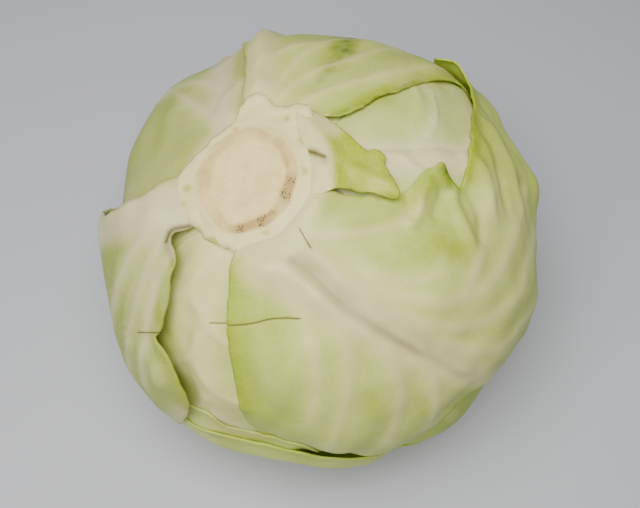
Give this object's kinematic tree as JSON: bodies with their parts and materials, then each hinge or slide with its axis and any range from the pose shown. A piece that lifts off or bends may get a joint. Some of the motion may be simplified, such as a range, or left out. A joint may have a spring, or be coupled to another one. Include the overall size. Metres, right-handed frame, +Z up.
{
  "type": "cabbage",
  "caption": "Trimmed round head of white cabbage lying on its crown, with pale green wrapper leaves, white ribs and a cut stalk on top.",
  "frame": {"origin": "on the surface that the head rests on, under the middle of the head's outline seen from above", "axes": "+Z up; the head lies on its crown, and its cut stalk leans about 21 degrees from +Z towards -X and a little towards -Y; the widest measure is along Y"},
  "size_m": [0.1954, 0.2028, 0.1743],
  "materials": {
    "cut_stalk": "cut fibrous stalk flesh, cream, with a tan ring of vessels",
    "inner_leaf": "smooth waxy leaf blade, pale green white",
    "wrapper_leaf": "smooth waxy leaf blade, yellow green with white ribs"
  },
  "bodies": {
    "root": {"packed_inner_leaves": "inner_leaf", "inner_leaf_right": "inner_leaf", "inner_leaf_front": "inner_leaf", "wrapper_leaf_front_left": "wrapper_leaf", "wrapper_leaf_back_left": "wrapper_leaf", "wrapper_leaf_back": "wrapper_leaf", "wrapper_leaf_front": "wrapper_leaf", "tucked_leaf_crown": "wrapper_leaf", "wrapper_leaf_crown": "wrapper_leaf", "wrapper_leaf_left": "wrapper_leaf", "torn_leaf_base": "wrapper_leaf", "stalk": "cut_stalk"}
  },
  "joints": []
}
